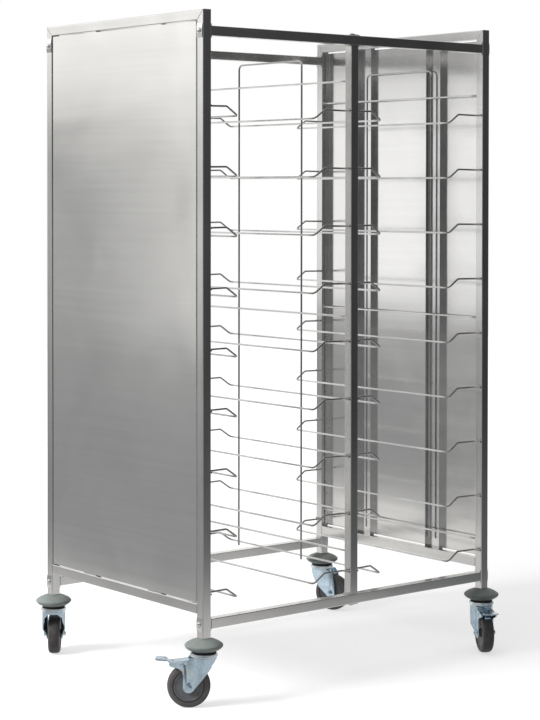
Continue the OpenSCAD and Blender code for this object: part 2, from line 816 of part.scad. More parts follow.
module brake_pin(i) {
    color(bright_steel) at_swivel(i) translate([pivot_x, 0, pivot_z]) rotate([90, 0, 0])
        cylinder(h = 2 * leg_out + 1, r = pivot_d / 2, center = true);
}

// ---- nodes ----

corner_post(-1, -1);  // left_front_post
corner_post(-1, 1);  // left_rear_post
corner_post(1, -1);  // right_front_post
corner_post(1, 1);  // right_rear_post
middle_post(-1);  // front_middle_post
middle_post(1);  // rear_middle_post
end_top_rail(-1);  // left_top_rail
end_bottom_rail(-1);  // left_bottom_rail
end_top_rail(1);  // right_top_rail
end_bottom_rail(1);  // right_bottom_rail
long_rail(-1, top_rail_bottom);  // front_top_rail
long_rail(-1, low_rail_bottom);  // front_bottom_rail
long_rail(1, top_rail_bottom);  // rear_top_rail
long_rail(1, low_rail_bottom);  // rear_bottom_rail
side_panel(-1);  // left_side_panel
side_panel(1);  // right_side_panel
panel_channels(-1);  // left_panel_channels
panel_channels(1);  // right_panel_channels
rack_hoop(-side_hoop_x, side_hoop_z);  // left_rack_hoop
rack_hoop(0, post_z + hoop_top);  // middle_rack_hoop
rack_hoop(side_hoop_x, side_hoop_z);  // right_rack_hoop
rack_cross_wires();
tray_runners(-inner_x, 1);  // left_tray_runners
tray_runners(-tube / 2, -1);  // middle_left_tray_runners
tray_runners(tube / 2, 1);  // middle_right_tray_runners
tray_runners(inner_x, -1);  // right_tray_runners
outer_saddle_plates();
inner_saddle_plates();
frame_bolts();
threaded_plugs();
caster_plugs();
caster_bumpers();
caster_seals();
caster_stems();
caster_heads();
caster_balls();
fork(0);  // front_left_fork
axle(0);  // front_left_axle
sleeve(0);  // front_left_sleeve
hub(0);  // front_left_hub
tyre(0);  // front_left_tyre
brake_pedal(0);  // front_left_brake_pedal
brake_pin(0);  // front_left_brake_pin
fork(1);  // front_right_fork
axle(1);  // front_right_axle
sleeve(1);  // front_right_sleeve
hub(1);  // front_right_hub
tyre(1);  // front_right_tyre
brake_pedal(1);  // front_right_brake_pedal
brake_pin(1);  // front_right_brake_pin
fork(2);  // rear_left_fork
axle(2);  // rear_left_axle
sleeve(2);  // rear_left_sleeve
hub(2);  // rear_left_hub
tyre(2);  // rear_left_tyre
fork(3);  // rear_right_fork
axle(3);  // rear_right_axle
sleeve(3);  // rear_right_sleeve
hub(3);  // rear_right_hub
tyre(3);  // rear_right_tyre
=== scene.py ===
"""Looks of the enclosed tray cart: brushed tubes and sheet, bent wires, rubber and casters."""
import json
import math

import bmesh
import bpy
import numpy as np
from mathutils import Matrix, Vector


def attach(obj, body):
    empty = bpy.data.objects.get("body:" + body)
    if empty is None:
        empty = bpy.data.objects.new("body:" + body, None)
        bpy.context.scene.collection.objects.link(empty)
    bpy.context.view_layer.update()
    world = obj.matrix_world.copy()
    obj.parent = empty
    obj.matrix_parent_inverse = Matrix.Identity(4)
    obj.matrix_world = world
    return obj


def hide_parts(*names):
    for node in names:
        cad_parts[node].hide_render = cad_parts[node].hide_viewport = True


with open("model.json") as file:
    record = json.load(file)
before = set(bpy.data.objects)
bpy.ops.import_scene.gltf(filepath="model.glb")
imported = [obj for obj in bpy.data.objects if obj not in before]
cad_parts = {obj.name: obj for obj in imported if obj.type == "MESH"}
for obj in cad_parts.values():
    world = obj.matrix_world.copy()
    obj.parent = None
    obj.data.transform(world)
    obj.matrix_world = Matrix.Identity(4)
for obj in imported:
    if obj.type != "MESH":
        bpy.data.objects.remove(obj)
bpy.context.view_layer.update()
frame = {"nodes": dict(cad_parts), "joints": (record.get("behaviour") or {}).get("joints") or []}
nodes = frame["nodes"]
joints = {j["name"]: j for j in frame["joints"]}
MM = 0.001

# ---- sizes that the new pieces share with the solids, in millimetres ----

cart_w, cart_d, post_len, tube = 990, 700, 1540, 25
wheel_r, axle_drop = 53.5, 117
post_z = wheel_r + axle_drop
top_z = post_z + post_len
inner_x, inner_y = cart_w / 2 - tube, cart_d / 2 - tube
post_x, post_y = (cart_w - tube) / 2, (cart_d - tube) / 2
wire_r = 2.5
levels, level_first, level_pitch = 9, 106, 150
panel_x, panel_sheet, panel_fold = 494.2, 1.2, 12
panel_gap, end_rail_z = 3, post_z + 58
panel_half = inner_y - panel_gap
panel_low, panel_high = end_rail_z + tube + panel_gap, top_z - tube - panel_gap
channel_back_x = panel_x - panel_sheet - 15
side_cross_x = channel_back_x - wire_r
side_hoop_x = side_cross_x + 2 * wire_r
hoop_y, hoop_top, hoop_bend = 135, 1446, 14
cross_first, cross_pitch, side_cross_drop, side_hoop_drop = 157, 613, 22, 8
bolt_len, saddle_t = 22 + tube + 2 * 2.6, 2.6
low_rail_z, top_rail_z = post_z + 21.5, top_z - 39 - tube
bumper_low, bumper_half, seal_low, head_low = post_z - 31, 13, post_z - 36, post_z - 44.5
SIDES = (("left", -1), ("right", 1))
CORNERS = ("front_left", "front_right", "rear_left", "rear_right")


# ---- finishes: a socket that does sums, and a material that makes nodes ----

class Shade:
    """A shader socket. Sums on it add Math nodes."""

    def __init__(self, finish, socket):
        self.finish, self.socket = finish, socket

    def sum(self, operation, *terms):
        return self.finish.node("ShaderNodeMath", {"operation": operation}, dict(enumerate(terms)))

    def __add__(self, other):
        return self.sum("ADD", self, other)

    def __sub__(self, other):
        return self.sum("SUBTRACT", self, other)

    def __rsub__(self, other):
        return self.sum("SUBTRACT", other, self)

    def __mul__(self, other):
        return self.sum("MULTIPLY", self, other)

    def __truediv__(self, other):
        return self.sum("DIVIDE", self, other)

    def __rtruediv__(self, other):
        return self.sum("DIVIDE", other, self)

    def __pow__(self, other):
        return self.sum("POWER", self, other)

    def __abs__(self):
        return self.sum("ABSOLUTE", self)

    def __invert__(self):
        return 1 - self

    __radd__, __rmul__ = __add__, __mul__

    def ramp(self, low, high):
        """0 below low, 1 above high, smooth between."""
        return self.finish.node("ShaderNodeMapRange", {"interpolation_type": "SMOOTHSTEP"},
                                {0: self, 1: low, 2: high, 3: 0.0, 4: 1.0})


class Finish:
    """A procedural material round one Principled shader; constants go on its own sockets."""

    def __init__(self, name, **constants):
        self.material = bpy.data.materials.new(name)
        self.material.use_nodes = True
        self.tree = self.material.node_tree
        self.shader = self.tree.nodes["Principled BSDF"]
        for socket, value in constants.items():
            self.shader.inputs[socket.replace("_", " ")].default_value = value

    def node(self, kind, settings=None, inputs=None, output=0):
        made = self.tree.nodes.new(kind)
        for key, value in (settings or {}).items():
            setattr(made, key, value)
        for key, value in (inputs or {}).items():
            if isinstance(value, Shade):
                self.tree.links.new(value.socket, made.inputs[key])
            else:
                made.inputs[key].default_value = value
        return Shade(self, made.outputs[output])

    def place(self, *scale):
        """Object coordinates in metres, stretched by scale."""
        coords = self.node("ShaderNodeTexCoord", output="Object")
        return self.node("ShaderNodeMapping", None, {"Vector": coords, "Scale": scale})

    def noise(self, scale, detail=2.0, distortion=0.0):
        """Cloudy noise from 0 to 1; scale is per metre, one number or one per axis."""
        scale = scale if isinstance(scale, tuple) else (scale,) * 3
        return self.node("ShaderNodeTexNoise", {"noise_dimensions": "3D"}, {
            "Vector": self.place(*scale), "Scale": 1.0, "Detail": detail,
            "Roughness": 0.5, "Distortion": distortion})

    def axis(self, letter):
        """One Object coordinate in metres."""
        return self.node("ShaderNodeSeparateXYZ", None, {0: self.place(1, 1, 1)}, letter)

    def own(self, name):
        """A number stored on the piece's points."""
        return self.node("ShaderNodeAttribute", {"attribute_name": name}, output="Fac")

    def mix(self, amount, first, second):
        """Colour from first to second."""
        colour = [c if isinstance(c, Shade) else (*c, 1) for c in (first, second)]
        return self.node("ShaderNodeMix", {"data_type": "RGBA"},
                         {0: amount, 6: colour[0], 7: colour[1]}, 2)

    def feed(self, colour, rough, height=None, depth=0.0002, strength=0.5):
        """Links the colour, the roughness and the bump of the surface."""
        parts = {"Base Color": colour, "Roughness": rough}
        if height is not None:
            parts["Normal"] = self.node("ShaderNodeBump", None, {
                "Strength": strength, "Distance": depth, "Height": height})
        for key, value in parts.items():
            self.tree.links.new(value.socket, self.shader.inputs[key])
        return self.material


def brushed(name, along, dark, light, rough=0.2, wave=0.0, grain=1.0):
    """Satin stainless: faint hair lines along one axis, soft clouds, and a slow swell. Grain
    scales the lines, wave the swell."""
    f = Finish(name, Metallic=1.0)

    def drawn(with_grain, across, detail, distortion=0.0):
        scale = tuple(with_grain if axis == along else across for axis in "XYZ")
        return f.noise(scale, detail, distortion)

    hair, streak = drawn(6, 700, 2), drawn(2, 90, 2)
    cloud, smear = f.noise(3.4, 2, 0.9), f.noise(21, 3, 0.4)
    colour = f.mix((cloud * 0.7 + streak * 0.3).ramp(0.3, 0.7), dark, light)
    colour = f.mix(smear.ramp(0.55, 0.8) * 0.15, colour, dark)
    height = hair * (0.0015 * grain) + streak * (0.002 * grain) + smear * 0.003
    if wave:
        height = height + drawn(1.3, 7.0, 1, 0.5) * wave
    return f.feed(colour, rough + (streak - 0.5) * (0.05 * grain) + (cloud - 0.5) * 0.06
                  + (hair - 0.5) * 0.04 + (smear - 0.5) * 0.03, height, 0.001, 1.0)


def wire_finish(name, tone):
    """Bright drawn wire: faint draw lines, painted shade on the wire ends by the posts, straw heat
    tint by the welds.
    """
    f = Finish(name, Metallic=1.0)
    line, patch = f.noise((420, 60, 420), 2), f.noise(11, 3, 0.3)
    tint = abs(f.axis("Y")).ramp(0.318, 0.338) * f.noise(160, 2).ramp(0.3, 0.65)
    # Painted shade: within 0.3 m of the posts the wire is darkened towards grey.
    post_shade = abs(f.axis("Y")).ramp(0.295, 0.315)
    colour = f.mix(patch.ramp(0.3, 0.7), (tone * 0.84,) * 3, (tone,) * 3)
    colour = f.mix(post_shade * 0.6, colour, (0.16, 0.16, 0.165))
    colour = f.mix(tint * 0.3, colour, (0.32, 0.26, 0.2))
    return f.feed(colour, 0.09 + (patch - 0.5) * 0.1 + line * 0.05 + tint * 0.12,
                  line + patch * 0.5, 0.00003, 0.3)


def fastener_finish():
    """Bright bolt steel with turning marks and small dull spots."""
    f = Finish("bright_fastener_steel", Metallic=1.0)
    spot, line = f.noise(260, 3), f.noise((1500, 1500, 40), 1)
    colour = f.mix(spot.ramp(0.35, 0.7), (0.66, 0.66, 0.65), (0.88, 0.88, 0.87))
    return f.feed(colour, 0.1 + spot * 0.12, spot * 0.6 + line * 0.4, 0.0001, 0.3)


def zinc_finish(name="zinc_plate_blue", dark=(0.42, 0.53, 0.62), light=(0.57, 0.70, 0.80)):
    """Blue-passivated zinc: dull cells, milky clouds and a faint yellow cast."""
    f = Finish(name, Metallic=1.0)
    cell = f.node("ShaderNodeTexVoronoi", {"feature": "SMOOTH_F1"}, {
        "Vector": f.place(170, 170, 170), "Scale": 1.0, "Smoothness": 0.6})
    milk, cast, grit = f.noise(34, 3, 0.6), f.noise(17, 2, 1.2), f.noise(900, 2)
    colour = f.mix((milk * 0.85 + cell * 0.15).ramp(0.3, 0.7), dark, light)
    colour = f.mix(cast.ramp(0.56, 0.72) * 0.3, colour, (0.66, 0.64, 0.52))
    return f.feed(colour, 0.2 + (milk - 0.5) * 0.1 + cell * 0.04, grit + milk * 0.6, 0.00004, 0.3)


def bumper_finish():
    """Matt grey-green rubber: pebbled skin, chalky scuffs, darker round the rim's parting line."""
    f = Finish("bumper_rubber_grey")
    pebble, chalk, mottle = f.noise(1400, 2), f.noise(45, 4, 0.5), f.noise(14, 2)
    rim = f.own("height")
    line = ~(abs(rim) / 0.0009).ramp(0.3, 1.0)
    colour = f.mix(mottle.ramp(0.3, 0.7), (0.148, 0.172, 0.163), (0.198, 0.224, 0.212))
    colour = f.mix(chalk.ramp(0.55, 0.8) * 0.35, colour, (0.30, 0.32, 0.30))
    colour = f.mix(line * 0.5, colour, (0.09, 0.1, 0.1))
    return f.feed(colour, 0.52 + (chalk - 0.5) * 0.2 + (pebble - 0.5) * 0.1,
                  pebble + chalk * 0.3, 0.00025, 0.45)


def rubber_finish(name, dark, light, rough):
    """Plain moulded rubber with a fine skin and grey bloom."""
    f = Finish(name)
    skin, bloom = f.noise(1600, 2), f.noise(60, 3, 0.4)
    colour = f.mix(bloom.ramp(0.35, 0.75), dark, light)
    return f.feed(colour, rough + (bloom - 0.5) * 0.18, skin, 0.00015, 0.4)


def tyre_finish():
    """Dark elastic tyre: painted shade on the tread and in the groove by the hub, dust on the
    tread, a fine mould ring on each side.
    """
    f = Finish("tyre_rubber_dark")
    skin, dust, scuff = f.noise(1500, 2), f.noise(70, 4, 0.6), f.noise(26, 3, 1.0)
    radius = f.own("radius")
    tread = radius.ramp(0.0505, 0.0528)
    ring = ~(abs(radius - 0.0462) / 0.00045).ramp(0.2, 1.0)
    groove_shade = ~radius.ramp(0.0386, 0.0394)
    colour = f.mix(scuff.ramp(0.3, 0.7), (0.062, 0.056, 0.055), (0.09, 0.083, 0.08))
    # Painted shade: the tread crown is darkened towards near black.
    colour = f.mix(tread * 0.7, colour, (0.026, 0.025, 0.026))
    colour = f.mix(tread * dust.ramp(0.4, 0.75) * 0.2, colour, (0.15, 0.145, 0.14))
    colour = f.mix(ring * 0.3, colour, (0.15, 0.145, 0.14))
    # Painted shade: near black in the groove where the tyre meets the hub.
    colour = f.mix(groove_shade * 0.85, colour, (0.01, 0.01, 0.01))
    return f.feed(colour, 0.48 + (scuff - 0.5) * 0.2 + tread * 0.12,
                  skin + dust * tread * 0.8 + ring * 0.6, 0.0003, 0.4)


def hub_finish():
    """Dark grey moulded nylon: swirl of the mould, fine grain, lighter scratched boss, and painted
    shade on the rim by the tyre.
    """
    f = Finish("wheel_hub_nylon")
    grain, cloud = f.noise(1100, 3), f.noise(38, 3, 0.9)
    radius = f.own("radius")
    swirl = f.node("ShaderNodeMath", {"operation": "SINE"}, {0: radius * 5200 + cloud * 3})
    worn = ~radius.ramp(0.012, 0.017)
    colour = f.mix(cloud.ramp(0.3, 0.7), (0.080, 0.084, 0.092), (0.115, 0.12, 0.13))
    colour = f.mix(worn * 0.4, colour, (0.2, 0.2, 0.2))
    # Painted shade: the hub's rim is darkened near black where the tyre meets it.
    colour = f.mix(radius.ramp(0.0372, 0.0378) * 0.8, colour, (0.012, 0.012, 0.012))
    return f.feed(colour, 0.42 + (cloud - 0.5) * 0.16 + swirl * 0.02,
                  grain * 0.5 + swirl * 0.12, 0.0002, 0.35)


tube_x, tube_y, tube_z = (
    brushed("tube_steel_along_" + axis.lower(), axis, (0.66, 0.655, 0.65), (0.76, 0.755, 0.745),
            0.2, 0.15) for axis in "XYZ")
sheet_y = brushed("panel_sheet_steel", "Y", (0.77, 0.765, 0.755), (0.83, 0.825, 0.815),
                  0.17, 0.8, 0.35)
fold_z = brushed("channel_sheet_steel", "Z", (0.68, 0.675, 0.67), (0.78, 0.775, 0.77), 0.16, 0.3)
plate_steel = brushed("saddle_plate_steel", "X", (0.6, 0.6, 0.6), (0.78, 0.78, 0.78), 0.2)
seam_steel = brushed("weld_seam_steel", "Y", (0.4, 0.39, 0.37), (0.62, 0.61, 0.6), 0.3)
# The hoops take a darker copy of the same wire steel, tone 0.5 against 0.74: painted shade.
wire_steel, shaded_hoop_steel = wire_finish("rack_wire_bright", 0.74), wire_finish("hoop_wire", 0.5)
bolt_steel, zinc = fastener_finish(), zinc_finish()
zinc_head = zinc_finish("zinc_head_bright", (0.58, 0.64, 0.69), (0.76, 0.82, 0.86))
bumper_rubber, tyre_rubber, hub_nylon = bumper_finish(), tyre_finish(), hub_finish()
seal_rubber = rubber_finish("dust_seal_rubber", (0.016, 0.017, 0.018), (0.035, 0.036, 0.038), 0.5)


# ---- surfaces ----

def skin(name, grids, material, slot, replaced, body="frame", closed=(False, True), sharp=38,
         numbers=None):
    """A piece from grids of points, shaped (copies, rows, columns, 3) and in millimetres.
    Point (i, j) joins (i + 1, j), (i + 1, j + 1) and (i, j + 1); closed says whether the last
    row or column joins the first. A row that shrinks to one point becomes a pole."""
    copies, rows, columns, _ = grids.shape
    i = np.arange(rows if closed[0] else rows - 1)
    j = np.arange(columns if closed[1] else columns - 1)
    k, i, j = np.meshgrid(np.arange(copies), i, j, indexing="ij")

    def index(row, column):
        return ((k * rows + row % rows) * columns + column % columns).ravel()

    quads = np.stack([index(i, j), index(i + 1, j), index(i + 1, j + 1), index(i, j + 1)], 1)
    mesh = bpy.data.meshes.new(name)
    mesh.from_pydata((grids.reshape(-1, 3) * MM).tolist(), [], quads.tolist())
    for key, values in (numbers or {}).items():
        layer = mesh.attributes.new(key, "FLOAT", "POINT")
        layer.data.foreach_set("value", np.ascontiguousarray(values, np.float32).ravel())
    close_up(mesh)
    mesh.shade_smooth()
    mesh.set_sharp_from_angle(angle=math.radians(sharp))
    return register(name, mesh, material, replaced, body)


def close_up(mesh, flat=None):
    """Merges doubles, joins flat faces where flat is given, and turns the faces outwards."""
    bm = bmesh.new()
    bm.from_mesh(mesh)
    bmesh.ops.remove_doubles(bm, verts=bm.verts, dist=2e-6)
    bmesh.ops.dissolve_degenerate(bm, edges=bm.edges, dist=1e-7)
    if flat:
        bmesh.ops.dissolve_limit(bm, angle_limit=flat, verts=bm.verts, edges=bm.edges)
    bmesh.ops.recalc_face_normals(bm, faces=bm.faces)
    bm.to_mesh(mesh)
    bm.free()


def register(name, mesh, material, replaced, body):
    piece = bpy.data.objects.new(name, mesh)
    bpy.context.scene.collection.objects.link(piece)
    mesh.materials.clear()
    mesh.materials.append(material)
    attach(piece, body)
    if replaced:
        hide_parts(*replaced)
    return piece


def unit(v):
    return v / np.linalg.norm(v, axis=-1, keepdims=True)


def bent_path(corners, bends, steps=6):
    """Points of a bent wire: straight between corners, and at each inner corner p an arc of
    the bend radius r, c + r (u sin a - n cos a), which starts and ends r tan(turn / 2) from p."""
    corners = np.asarray(corners, float)
    way = unit(np.diff(corners, axis=0))
    parts = [corners[:1]]
    for p, u, v, r in zip(corners[1:-1], way[:-1], way[1:], bends):
        turn = math.acos(float(np.clip(u @ v, -1, 1)))
        n = unit(v - u * (u @ v))
        start = p - u * r * math.tan(turn / 2)
        a = np.linspace(0, turn, steps + 1)[:, None]
        parts.append(start + r * (u * np.sin(a) + n * (1 - np.cos(a))))
    return np.concatenate(parts + [corners[-1:]])


def swept(path, radius, up, sides=14):
    """Round tube: p(s) + r (cos a * side(s) + sin a * rise(s)), where side is square to the
    path and to the direction up. Both ends are eased and shrink to a point."""
    way = unit(np.gradient(path, axis=0))
    way[0], way[-1] = unit(path[1] - path[0]), unit(path[-1] - path[-2])
    ease = radius * 0.2
    path = np.concatenate([path[:1], path[:1], path[:1] + way[:1] * ease, path[1:-1],
                           path[-1:] - way[-1:] * ease, path[-1:], path[-1:]])
    way = np.concatenate([way[:1], way[:1], way, way[-1:], way[-1:]])
    r = np.full(len(path), radius)
    r[[0, -1]], r[[1, -2]] = 0, radius * 0.82
    side = unit(np.cross(way, up))
    rise = np.cross(side, way)
    a = np.arange(sides) * 2 * math.pi / sides
    ring = np.cos(a)[:, None] * side[:, None] + np.sin(a)[:, None] * rise[:, None]
    return path[:, None] + r[:, None, None] * ring


def turned(profile, centres, axes, sides=48):
    """Turned shape: for a profile of (radius, height) pairs, centre + height * axis
    + radius (cos a * u + sin a * v), with u and v square to the axis. One copy per centre."""
    profile, centres = np.asarray(profile, float), np.asarray(centres, float)
    axes = unit(np.asarray(axes, float))
    helper = np.where(np.abs(axes[:, 2:]) > 0.9, [[1.0, 0, 0]], [[0, 0, 1.0]])
    u = unit(np.cross(axes, helper))
    v = np.cross(axes, u)
    a = np.arange(sides) * 2 * math.pi / sides
    ring = (np.cos(a)[None, :, None] * u[:, None] + np.sin(a)[None, :, None] * v[:, None])
    stem = centres[:, None] + profile[None, :, 1, None] * axes[:, None]
    return stem[:, :, None] + profile[None, :, 0, None, None] * ring[:, None]


def smooth_profile(points, steps=5):
    """Catmull-Rom curve through the points: the cubic whose slope at each point is half the
    way between its neighbours."""
    p = np.asarray(points, float)
    p = np.concatenate([2 * p[:1] - p[1:2], p, 2 * p[-1:] - p[-2:-1]])
    a, b, c, d = p[:-3, None], p[1:-2, None], p[2:-1, None], p[3:, None]
    t = np.linspace(0, 1, steps, endpoint=False)[None, :, None]
    curve = b + t * (c - a) / 2 + t ** 2 * (a - 2.5 * b + 2 * c - d / 2) \
        + t ** 3 * (1.5 * (b - c) + (d - a) / 2)
    return np.concatenate([curve.reshape(-1, 2), p[-2:-1]])


def rounded_corner(before, corner, after, r, steps=5):
    """Arc of radius r in a plane, which touches both legs of the corner."""
    return bent_path(np.array([before, corner, after], float), [r], steps)[1:-1]


# ---- rack wires ----

def runner_path():
    """One runner from its front heel to its rear heel, at x = 0 and z = 0 on a post's face."""
    y, end = inner_y - wire_r / 2, cart_d / 2 - 2
    corners = [(wire_r, -end, 0), (wire_r, -y, 0), (68, -y, 1), (103, -y, -22.5),
               (103, y, -22.5), (68, y, 1), (wire_r, y, 0), (wire_r, end, 0)]
    return bent_path(corners, [6, 12, 9, 9, 12, 6])


def tray_runners(name, x, sx):
    shape = swept(runner_path(), wire_r, (0, 0, 1.0), 12)
    height = post_z + level_first + np.arange(levels) * level_pitch
    place = np.stack([np.full(levels, x), height * 0, height], 1)[:, None, None]
    grids = np.repeat(shape[None], levels, 0) * (sx, 1, 1) + place
    skin(name + "_wires", grids, wire_steel, "rack_wire", [name])


def nuggets(name, centres, half):
    """Weld nuggets: ellipsoids centre + half * (cos a sin b, sin a sin b, cos b), whose radius
    ripples by 9% with the angle a."""
    a = (np.arange(8) * math.pi / 4)[None, :]
    b = np.linspace(0, math.pi, 7)[:, None]
    ball = np.stack([np.cos(a) * np.sin(b), np.sin(a) * np.sin(b), np.cos(b) + 0 * a], -1)
    ball = ball * (1 + 0.09 * np.sin(3 * a + 5 * b))[..., None]
    grids = np.asarray(centres, float)[:, None, None] + ball[None] * np.asarray(half, float)
    skin(name, grids, seam_steel, "rack_wire", None, sharp=60)


RACK_SIDES = (("left_tray_runners", -inner_x, 1), ("middle_left_tray_runners", -tube / 2, -1),
              ("middle_right_tray_runners", tube / 2, 1), ("right_tray_runners", inner_x, -1))
for rack, x, sx in RACK_SIDES:
    tray_runners(rack, x, sx)
    k, sy, step = [g.ravel() for g in np.meshgrid(np.arange(levels), (-1, 1), (-5, 6),
                                                  indexing="ij")]
    spots = np.stack([np.full(k.size, x + sx * 0.9), sy * (inner_y + 10 + step),
                      post_z + level_first + k * level_pitch], 1)
    nuggets(rack.replace("tray_runners", "runner_welds"), spots, (1.4, 3.6, 3.1))

hoops = {"left": (-side_hoop_x, hoop_top - side_hoop_drop), "middle": (0, hoop_top),
         "right": (side_hoop_x, hoop_top - side_hoop_drop)}
crossings = []
for side, (x, top) in hoops.items():
    low, high = post_z + level_first, post_z + top
    path = bent_path([(x, -hoop_y, low), (x, -hoop_y, high), (x, hoop_y, high),
                      (x, hoop_y, low)], [hoop_bend, hoop_bend], 10)
    skin(side + "_hoop_wire", swept(path, wire_r, (1.0, 0, 0), 16)[None], shaded_hoop_steel,
         "rack_wire", [side + "_rack_hoop"])

cross_x = (-side_cross_x, side_cross_x, -2 * wire_r)
cross_drop = (side_cross_drop, side_cross_drop, 0)
cross_grids, collars = [], []
for x, drop, weld_x in zip(cross_x, cross_drop, (-wire_r, wire_r, wire_r)):
    for i in range(3):
        z = post_z + cross_first - drop + i * cross_pitch
        cross_grids.append(swept(np.array([(x, y, z) for y in (-inner_y, -200, 0, 200, inner_y)],
                                          float), wire_r, (0, 0, 1.0), 16))
        collars += [(x, sy * inner_y, z) for sy in (-1, 1)]
        crossings += [(x + weld_x, sy * hoop_y, z) for sy in (-1, 1)]
skin("cross_wires", np.array(cross_grids), wire_steel, "rack_wire", ["rack_cross_wires"])
nuggets("hoop_crossing_welds", crossings, (1.7, 3.3, 3.3))
collars = np.array(collars)
collar = smooth_profile([(wire_r * 0.9, 0.2), (4.6, 0.1), (4.2, 0.8), (3.2, 1.5), (2.55, 2.8),
                         (wire_r * 0.9, 3.0)], 3)
skin("cross_wire_collars", turned(collar, collars, np.sign(collars[:, 1:2]) * (0, -1.0, 0), 14),
     seam_steel, "rack_wire", None, closed=(True, True), sharp=60)


# ---- side panels: one folded sheet each ----

def folded_outline(half, depth, thick, r):
    """Outer and inner outline of a sheet with both edges folded back, as (x, y) pairs that
    belong together: x is 0 on the face and falls behind it."""
    outer = [(-depth, half), (-r - 1.5, half)]
    outer = np.concatenate([outer, rounded_corner((-depth, half), (0, half), (0, 0), r, 6)])
    face = np.stack([np.zeros(61), np.linspace(half - r - 2, -half + r + 2, 61)], 1)
    outer = np.concatenate([outer, face, outer[::-1] * (1, -1)])
    way = unit(np.gradient(outer, axis=0))
    inner = outer + thick * np.stack([way[:, 1], -way[:, 0]], 1)
    return outer, inner


def side_panel(side, sx):
    """Folded sheet carried upwards. At height h its face swells and sinks by up to 0.5 mm, as
    the sum of two slow waves, 0.36 sin(h / 66 + 1.1 sin(y / 150)) (0.55 - y / 650) and
    0.08 sin(h / 34 + y / 140), which fade by the cubic t t (3 - 2 t) near the folds."""
    outer, inner = folded_outline(panel_half, panel_fold, panel_sheet, 2.4)
    loop = np.concatenate([outer, inner[::-1]])
    rows, fade, flat_edge, sink = 141, 90, 4, 0.15
    grid = np.empty((1, rows, len(loop), 3))
    grid[0, :, :, :2] = loop
    grid[0, :, :, 2] = np.linspace(panel_low, panel_high, rows)[:, None]
    y, h = grid[..., 1], grid[..., 2]
    wave = 0.36 * np.sin(h / 66 + 1.1 * np.sin(y / 150)) * (0.55 - y / 650) \
        + 0.08 * np.sin(h / 34 + y / 140)
    rim = np.clip((panel_half - flat_edge - 2 - abs(y)) / fade, 0, 1) \
        * np.clip((h - panel_low - flat_edge) / fade, 0, 1) \
        * np.clip((panel_high - flat_edge - h) / fade, 0, 1)
    rim = rim ** 2 * (3 - 2 * rim)
    grid[..., 0] = sx * (panel_x + grid[..., 0] + wave * rim - sink * rim)
    n = len(outer)
    ends = np.concatenate([grid[:, :, :n], grid[:, :, n:][:, :, ::-1]], 1)
    caps = np.stack([ends[0, [0, rows]], ends[0, [rows - 1, 2 * rows - 1]]])
    shell = skin(side + "_panel_sheet", grid, sheet_y, "sheet_steel", [side + "_side_panel"],
                 closed=(False, True), sharp=50)
    lids = bpy.data.meshes.new("lids")
    quads = np.stack([np.arange(n - 1), np.arange(1, n), np.arange(n + 1, 2 * n),
                      np.arange(n, 2 * n - 1)], 1)
    lids.from_pydata((caps.reshape(-1, 3) * MM).tolist(), [],
                     np.concatenate([quads, quads + 2 * n]).tolist())
    bm = bmesh.new()
    bm.from_mesh(shell.data)
    bm.from_mesh(lids)
    bmesh.ops.remove_doubles(bm, verts=bm.verts, dist=2e-6)
    bmesh.ops.recalc_face_normals(bm, faces=bm.faces)
    bm.to_mesh(shell.data)
    bm.free()
    bpy.data.meshes.remove(lids)
    shell.data.set_sharp_from_angle(angle=math.radians(50))


for side, sx in SIDES:
    side_panel(side, sx)


# ---- joints of the frame ----

def weld_seams():
    """Seam beads, half sunk into the steel: tubes of 0.7 mm radius that ripples by 15%."""
    ends, z0, z1 = [], end_rail_z, end_rail_z + tube
    lo, hi = inner_x + 1.5, cart_w / 2 - 1.5
    for sx in (-1, 1):
        for sy in (-1, 1):
            for x in (inner_x, cart_w / 2):
                ends.append(((sx * x, sy * (inner_y + 0.5), top_z - tube + 0.5),
                             (sx * x, sy * (cart_d / 2 - 1), top_z - 1)))
                ends.append(((sx * x, sy * inner_y, z0 + 1), (sx * x, sy * inner_y, z1 - 1)))
            for z in (z0, z1, top_z - tube):
                ends.append(((sx * lo, sy * inner_y, z), (sx * hi, sy * inner_y, z)))
            ends.append(((sx * lo, sy * (cart_d / 2 - 0.3), top_z - 0.3),
                         (sx * hi, sy * (cart_d / 2 - 0.3), top_z - 0.3)))
    ends = np.array(ends)
    a, b = ends[:, :1], ends[:, 1:]
    t = np.linspace(0, 1, 34)[None, :, None]
    path = a + (b - a) * t
    way = unit(b - a)
    side = unit(np.cross(way, np.where(abs(way[..., :1]) > 0.9, (0, 0, 1.0), (1.0, 0, 0))))
    rise = np.cross(side, way)
    r = 0.7 * (1 + 0.15 * np.sin(t * 75))
    r[:, [0, -1]] = 0
    angle = (np.arange(8) * math.pi / 4)[:, None]
    ring = np.cos(angle) * side[:, :, None] + np.sin(angle) * rise[:, :, None]
    skin("frame_weld_seams", path[:, :, None] + r[..., None] * ring, seam_steel, "tube_steel",
         None, sharp=70)


